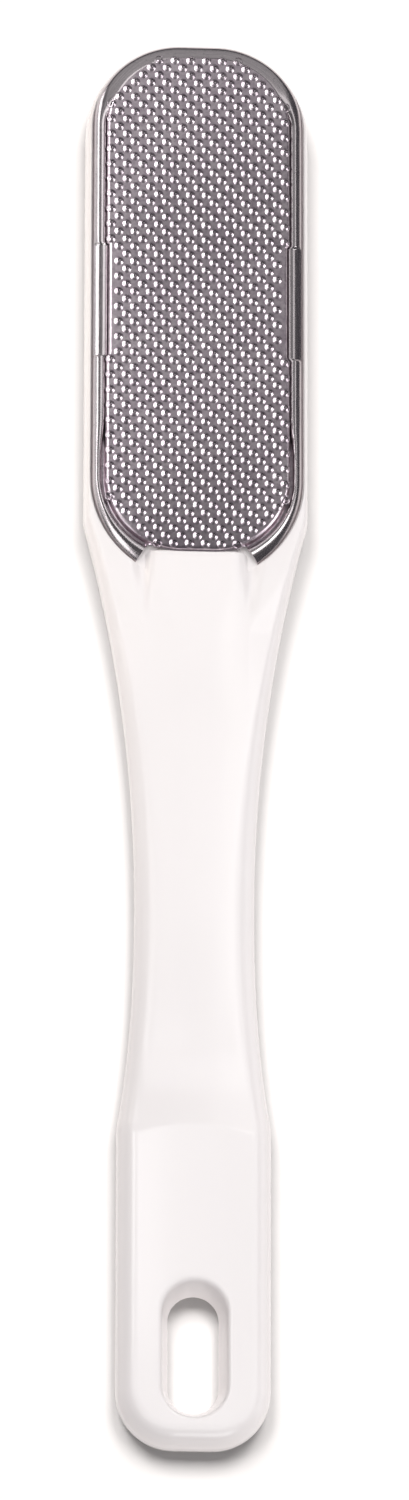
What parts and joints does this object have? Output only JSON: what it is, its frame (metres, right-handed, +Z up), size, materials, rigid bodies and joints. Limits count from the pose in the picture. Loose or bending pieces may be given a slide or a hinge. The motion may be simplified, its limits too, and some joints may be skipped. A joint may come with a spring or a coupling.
{
  "type": "foot file",
  "caption": "Flat long-handled foot file with a pierced metal rasp in a bent metal frame on the head's front, a fine emery sheet on its back and a hanging slot in the grip.",
  "frame": {"origin": "centre of the underside's bounding rectangle, at the height of the surface that the file lies on", "axes": "+Y along the handle towards the head's tip, +Z up out of the rasp side, +X to the right seen from the rasp side"},
  "size_m": [0.0398, 0.257, 0.0119],
  "materials": {
    "shell": "glossy warm white moulded plastic",
    "plate_steel": "pierced stainless sheet with a satin face and bright burrs",
    "frame_steel": "drawn stainless bead, semi-bright",
    "emery": "fine emery cloth, dark grey grit",
    "adhesive": "double-sided adhesive film"
  },
  "bodies": {
    "root": {"front_shell": "shell", "rear_shell": "shell", "rasp_plate": "plate_steel", "rasp_frame": "frame_steel", "emery_sheet": "emery", "adhesive_film": "adhesive"}
  },
  "joints": []
}
